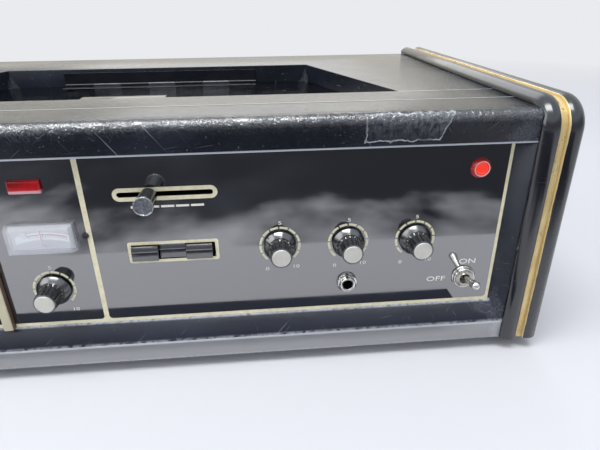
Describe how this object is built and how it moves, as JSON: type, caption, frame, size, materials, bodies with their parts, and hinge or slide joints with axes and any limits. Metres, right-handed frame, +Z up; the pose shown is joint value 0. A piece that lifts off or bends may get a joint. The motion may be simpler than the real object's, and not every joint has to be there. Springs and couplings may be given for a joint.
{
  "type": "tape echo unit",
  "caption": "Tabletop tape echo unit: black leatherette cabinet, gold-striped side boards, sunk hinged lid over a loop deck, glossy front panel with knobs, keys and lever.",
  "frame": {"origin": "on the floor, under the middle of the unit's bounding box", "axes": "+X to the right seen from the front, -Y towards the front panel, +Z up"},
  "size_m": [0.53, 0.2956, 0.1684],
  "materials": {
    "leatherette_black": "fine grained vinyl cloth with white scuffs along the edges",
    "moulding_black": "glossy, slightly scratched",
    "gold_foil": "satin foil, worn through in places",
    "surround_grey": "satin, lightly scuffed",
    "panel_gloss": "glossy with cream print",
    "divider_cream": "cream face with brown sides",
    "screw_steel": "darkened",
    "foot_rubber": "matte",
    "rear_paint": "satin black paint",
    "bush_plastic": "satin",
    "tray_steel": "plated",
    "board_fibre": "brown laminate",
    "transformer_iron": "varnished",
    "pan_paint": "satin grey paint",
    "lid_gloss": "polished, light scuffs",
    "hinge_steel": "dull plate",
    "motor_paint": "satin",
    "deck_brass": "turned",
    "belt_rubber": "matte",
    "polished_steel": "ground and polished",
    "deck_steel": "brushed",
    "head_metal": "lapped nose",
    "carriage_aluminium": "milled",
    "tape_brown": "oxide coat",
    "roller_rubber": "ground",
    "grip_black": "glossy",
    "key_grey": "glossy dark grey",
    "switch_plastic": "moulded",
    "meter_black": "moulded",
    "dial_paper": "printed white and grey",
    "meter_clear": "clear, lightly scratched",
    "needle_red": "matte",
    "lamp_red": "translucent red",
    "pilot_red": "translucent red, lit",
    "chrome": "polished",
    "switch_brown": "moulded",
    "jack_black": "moulded",
    "pot_metal": "pressed",
    "knob_black": "glossy with a satin metal cap"
  },
  "bodies": {
    "cabinet": {"cabinet_top": "leatherette_black", "cabinet_bottom": "leatherette_black", "side_board_left": "leatherette_black", "side_board_right": "leatherette_black", "edge_mouldings": "moulding_black", "gold_inlays": "gold_foil", "front_surround": "surround_grey", "front_panel": "panel_gloss", "divider_bar": "divider_cream", "screws": "screw_steel", "rubber_feet": "foot_rubber", "rear_panel": "rear_paint", "mains_gland": "bush_plastic", "chassis_tray": "tray_steel", "circuit_board": "board_fibre", "power_transformer": "transformer_iron", "deck_pan": "pan_paint", "lid_hinge_fixed": "hinge_steel", "drive_motor": "motor_paint", "drive_belt": "belt_rubber", "capstan_bearing": "deck_brass", "tape_guides": "deck_steel", "fixed_heads": "head_metal", "head_rails": "polished_steel", "tape_loop": "tape_brown", "key_switch_block": "switch_plastic", "meter_body": "meter_black", "meter_dial": "dial_paper", "meter_cover": "meter_clear", "level_lamp": "lamp_red", "pilot_bezel": "lamp_red", "pilot_lens": "pilot_red", "toggle_bodies": "switch_brown", "jack_bodies": "jack_black", "panel_nuts": "chrome", "pot_bodies": "pot_metal"},
    "lid": {"tape_lid": "lid_gloss", "lid_hinge_moving": "hinge_steel"},
    "capstan": {"capstan_shaft": "polished_steel", "capstan_flywheel": "deck_brass"},
    "motor_pulley": {"motor_pulley": "deck_brass"},
    "pinch_arm": {"pinch_arm": "deck_steel"},
    "pinch_roller": {"pinch_roller": "roller_rubber"},
    "mode_lever": {"mode_lever_grip": "grip_black", "mode_lever_bar": "deck_steel", "playback_carriage": "carriage_aluminium", "playback_head": "head_metal"},
    "key_left": {"key_left": "key_grey"},
    "key_middle": {"key_middle": "key_grey"},
    "key_right": {"key_right": "key_grey"},
    "meter_needle": {"meter_needle": "needle_red"},
    "echo_toggle": {"echo_toggle_lever": "chrome"},
    "mains_toggle": {"mains_toggle_lever": "chrome"},
    "knob_repeat": {"knob_repeat": "knob_black"},
    "knob_volume": {"knob_volume": "knob_black"},
    "knob_tone": {"knob_tone": "knob_black"},
    "knob_main": {"knob_main": "knob_black"},
    "knob_mic_1": {"knob_mic_1": "knob_black"},
    "knob_mic_2": {"knob_mic_2": "knob_black"}
  },
  "joints": [
    {"name": "knob_repeat_turn", "type": "hinge", "parent": "cabinet", "child": "knob_repeat", "pos_m": [0.0942, -0.13423, 0.0817], "axis": [0, -1, 0], "range_deg": [-140, 140]},
    {"name": "knob_volume_turn", "type": "hinge", "parent": "cabinet", "child": "knob_volume", "pos_m": [0.1362, -0.13423, 0.0817], "axis": [0, -1, 0], "range_deg": [-140, 140]},
    {"name": "knob_tone_turn", "type": "hinge", "parent": "cabinet", "child": "knob_tone", "pos_m": [0.1782, -0.13423, 0.0817], "axis": [0, -1, 0], "range_deg": [-140, 140]},
    {"name": "knob_main_turn", "type": "hinge", "parent": "cabinet", "child": "knob_main", "pos_m": [-0.0434, -0.13423, 0.0594], "axis": [0, -1, 0], "range_deg": [-140, 140]},
    {"name": "knob_mic_1_turn", "type": "hinge", "parent": "cabinet", "child": "knob_mic_1", "pos_m": [-0.197, -0.13423, 0.0817], "axis": [0, -1, 0], "range_deg": [-140, 140]},
    {"name": "knob_mic_2_turn", "type": "hinge", "parent": "cabinet", "child": "knob_mic_2", "pos_m": [-0.152, -0.13423, 0.0817], "axis": [0, -1, 0], "range_deg": [-140, 140]},
    {"name": "mode_lever_slide", "type": "slide", "parent": "cabinet", "child": "mode_lever", "axis": [1, 0, 0], "range_m": [-0.0115, 0.0298]},
    {"name": "key_left_push", "type": "slide", "parent": "cabinet", "child": "key_left", "axis": [0, 1, 0], "range_m": [0, 0.003]},
    {"name": "key_middle_push", "type": "slide", "parent": "cabinet", "child": "key_middle", "axis": [0, 1, 0], "range_m": [-0.003, 0]},
    {"name": "key_right_push", "type": "slide", "parent": "cabinet", "child": "key_right", "axis": [0, 1, 0], "range_m": [0, 0.003]},
    {"name": "echo_toggle_tip", "type": "hinge", "parent": "cabinet", "child": "echo_toggle", "pos_m": [0.213, -0.12423, 0.0523], "axis": [1, 0, 0], "range_deg": [0, 24]},
    {"name": "mains_toggle_tip", "type": "hinge", "parent": "cabinet", "child": "mains_toggle", "pos_m": [-0.107, -0.12423, 0.0523], "axis": [1, 0, 0], "range_deg": [0, 24]},
    {"name": "meter_needle_swing", "type": "hinge", "parent": "cabinet", "child": "meter_needle", "pos_m": [-0.0426, -0.12623, 0.0893], "axis": [0, 1, 0], "range_deg": [-38, 38]},
    {"name": "lid_open", "type": "hinge", "parent": "cabinet", "child": "lid", "pos_m": [0, 0.07007, 0.1491], "axis": [-1, 0, 0], "range_deg": [0, 85]},
    {"name": "capstan_turn", "type": "hinge", "parent": "cabinet", "child": "capstan", "pos_m": [0.04, 0.00712, 0.08], "axis": [0, 0, 1], "continuous": true},
    {"name": "motor_pulley_turn", "type": "hinge", "parent": "cabinet", "child": "motor_pulley", "pos_m": [-0.045, 0.00712, 0.06], "axis": [0, 0, 1], "continuous": true},
    {"name": "pinch_arm_swing", "type": "hinge", "parent": "cabinet", "child": "pinch_arm", "pos_m": [0.01, -0.01023, 0.085], "axis": [0, 0, -1], "range_deg": [0, 15]},
    {"name": "pinch_roller_turn", "type": "hinge", "parent": "pinch_arm", "child": "pinch_roller", "pos_m": [0.04, -0.00458, 0.097], "axis": [0, 0, 1], "continuous": true}
  ],
  "couplings": [
    {"joint": "motor_pulley_turn", "follows": "capstan_turn", "ratio": 3.75},
    {"joint": "pinch_roller_turn", "follows": "capstan_turn", "ratio": -0.375}
  ]
}
